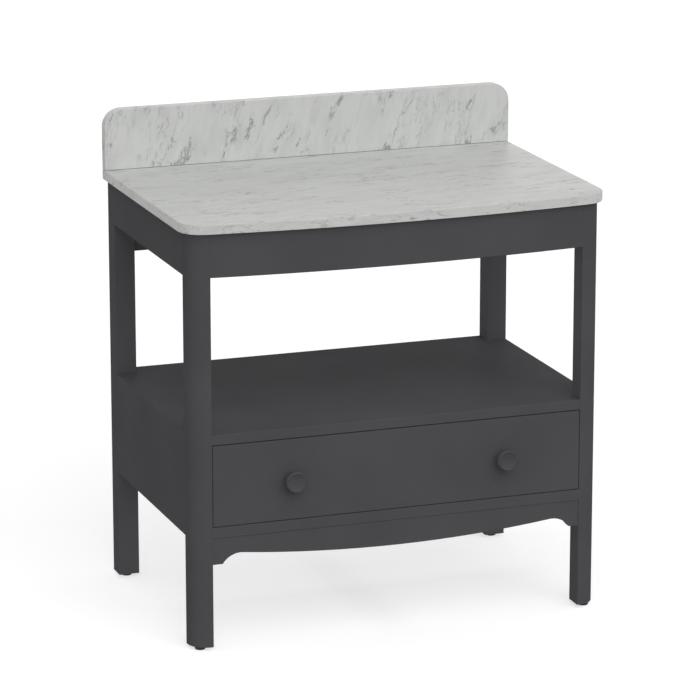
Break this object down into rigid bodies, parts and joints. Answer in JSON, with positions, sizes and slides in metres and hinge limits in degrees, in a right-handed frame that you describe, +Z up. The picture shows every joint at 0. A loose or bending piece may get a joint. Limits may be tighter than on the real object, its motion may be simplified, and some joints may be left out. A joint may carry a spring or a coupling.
{
  "type": "vanity unit",
  "caption": "Painted timber washstand with a bowed front rail, marble worktop and upstand, open shelf and an inset drawer on telescopic runners above a shaped apron.",
  "frame": {"origin": "on the floor under the middle of the unit's overall width and depth", "axes": "+X to the right of someone facing the unit, +Y from the front to the wall, +Z up"},
  "size_m": [0.86, 0.566, 0.963],
  "materials": {
    "painted_timber": "satin charcoal paint",
    "marble": "honed pale grey marble with darker veins",
    "silicone": "matt grey silicone",
    "bare_timber": "planed softwood",
    "drawer_timber": "lacquered pale timber",
    "zinc_steel": "zinc-plated steel",
    "glide_plastic": "black plastic"
  },
  "bodies": {
    "carcass": {"apron_front": "painted_timber", "apron_glue_blocks": "bare_timber", "back_panel": "painted_timber", "bottom_board": "painted_timber", "carcass_dowels": "bare_timber", "corner_block_back_left": "bare_timber", "corner_block_back_right": "bare_timber", "corner_block_front_left": "bare_timber", "corner_block_front_right": "bare_timber", "corner_block_screws": "zinc_steel", "glide_back_left": "glide_plastic", "glide_back_right": "glide_plastic", "glide_front_left": "glide_plastic", "glide_front_right": "glide_plastic", "glide_nails": "zinc_steel", "leg_back_left": "painted_timber", "leg_back_right": "painted_timber", "leg_front_left": "painted_timber", "leg_front_right": "painted_timber", "rail_back": "painted_timber", "rail_front": "painted_timber", "rail_left": "painted_timber", "rail_right": "painted_timber", "runner_outer_left": "zinc_steel", "runner_outer_right": "zinc_steel", "runner_packer_left": "bare_timber", "runner_packer_right": "bare_timber", "runner_screws_cabinet": "zinc_steel", "shelf": "painted_timber", "side_panel_left": "painted_timber", "side_panel_right": "painted_timber", "upstand": "marble", "upstand_seal": "silicone", "worktop": "marble", "worktop_pads": "silicone"},
    "drawer": {"drawer_back": "drawer_timber", "drawer_bottom": "drawer_timber", "drawer_box_front": "drawer_timber", "drawer_front": "painted_timber", "drawer_side_left": "drawer_timber", "drawer_side_right": "drawer_timber", "front_screws": "zinc_steel", "knob_left": "painted_timber", "knob_right": "painted_timber", "knob_screws": "zinc_steel", "runner_inner_left": "zinc_steel", "runner_inner_right": "zinc_steel", "runner_screws_drawer": "zinc_steel"},
    "middle_runner_left": {"runner_middle_left": "zinc_steel"},
    "middle_runner_right": {"runner_middle_right": "zinc_steel"}
  },
  "joints": [
    {"name": "drawer_slide", "type": "slide", "parent": "carcass", "child": "drawer", "axis": [0, -1, 0], "range_m": [0, 0.45]},
    {"name": "runner_slide_left", "type": "slide", "parent": "carcass", "child": "middle_runner_left", "axis": [0, -1, 0], "range_m": [0, 0.225]},
    {"name": "runner_slide_right", "type": "slide", "parent": "carcass", "child": "middle_runner_right", "axis": [0, -1, 0], "range_m": [0, 0.225]}
  ],
  "couplings": [
    {"joint": "runner_slide_left", "follows": "drawer_slide", "ratio": 0.5},
    {"joint": "runner_slide_right", "follows": "drawer_slide", "ratio": 0.5}
  ]
}
